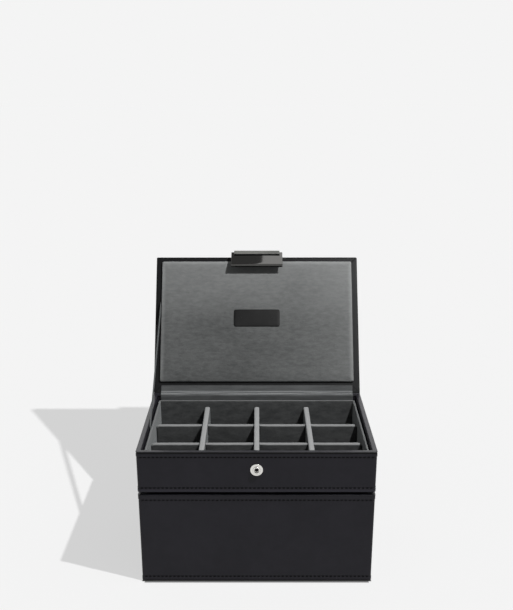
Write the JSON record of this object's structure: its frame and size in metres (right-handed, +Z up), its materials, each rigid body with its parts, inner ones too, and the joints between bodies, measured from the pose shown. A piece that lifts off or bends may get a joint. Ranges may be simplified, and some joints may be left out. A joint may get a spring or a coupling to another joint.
{
  "type": "cufflink box with drawer",
  "caption": "Leather-covered cufflink box in two storeys: a drawer case with a full-width drawer, and on it a velvet-lined compartment box with a hinged lid and a snap tab.",
  "frame": {"origin": "centre of the underside, on the felt pad that it stands on", "axes": "+X to the box's right seen from the front, +Y to the back, +Z up; the front faces -Y"},
  "size_m": [0.18, 0.2006, 0.2229],
  "materials": {
    "black_leather": "smooth black leather with a fine grain and a soft sheen, hemmed and stitched in black",
    "grey_velvet": "short-pile charcoal grey velvet on thin board",
    "lined_board": "fibreboard covered with black paper",
    "felt": "thin black felt",
    "nickel": "polished nickel plate",
    "dark_plate": "polished dark gunmetal plate, bare",
    "plaque": "plain black leather plaque, bare",
    "ribbon": "black grosgrain ribbon"
  },
  "bodies": {
    "drawer_case": {"base_pad": "felt", "case_back": "black_leather", "case_base": "lined_board", "case_deck": "lined_board", "case_front_rail": "black_leather", "case_side_left": "black_leather", "case_side_right": "black_leather", "drawer_glides": "felt"},
    "drawer": {"drawer_back": "grey_velvet", "drawer_bottom": "lined_board", "drawer_front": "black_leather", "drawer_pad": "grey_velvet", "drawer_side_left": "grey_velvet", "drawer_side_right": "grey_velvet"},
    "upper_box": {"box_base": "lined_board", "box_plinth": "lined_board", "box_wall_back": "black_leather", "box_wall_front": "black_leather", "box_wall_left": "black_leather", "box_wall_right": "black_leather", "divider_cross_1": "grey_velvet", "divider_cross_2": "grey_velvet", "divider_long_1": "grey_velvet", "divider_long_2": "grey_velvet", "divider_long_3": "grey_velvet", "hinge_leather_box": "black_leather", "hinge_lining": "grey_velvet", "stay_ribbon": "ribbon", "stud": "nickel", "stud_rivet": "nickel", "tray_floor": "grey_velvet", "tray_wall_back": "grey_velvet", "tray_wall_front": "grey_velvet", "tray_wall_left": "grey_velvet", "tray_wall_right": "grey_velvet"},
    "lid": {"hinge_leather_lid": "black_leather", "lid_board": "black_leather", "lid_lining": "grey_velvet", "lid_plaque": "plaque", "tab_root": "black_leather"},
    "tab_strap": {"tab_strap": "black_leather"},
    "tab_end": {"tab_tongue": "black_leather", "tab_plate": "dark_plate", "snap_socket": "nickel"}
  },
  "joints": [
    {"name": "drawer_slide", "type": "slide", "parent": "drawer_case", "child": "drawer", "axis": [0, -1, 0], "range_m": [0, 0.085]},
    {"name": "upper_box_lift", "type": "slide", "parent": "drawer_case", "child": "upper_box", "axis": [0, 0, 1], "range_m": [0, 0.04]},
    {"name": "lid_hinge", "type": "hinge", "parent": "upper_box", "child": "lid", "pos_m": [0, 0.0628, 0.11115], "axis": [1, 0, 0], "range_deg": [0, 122], "deforming": ["hinge_lining", "stay_ribbon"]},
    {"name": "tab_lift", "type": "hinge", "parent": "lid", "child": "tab_strap", "pos_m": [0, 0.13589, 0.215], "axis": [-1, 0, 0], "range_deg": [-5, 50]},
    {"name": "tab_fold", "type": "hinge", "parent": "tab_strap", "child": "tab_end", "pos_m": [0, 0.12924, 0.22263], "axis": [-1, 0, 0], "range_deg": [0, 67]}
  ],
  "couplings": [
    {"joint": "tab_fold", "follows": "lid_hinge", "ratio": 0.54918}
  ]
}
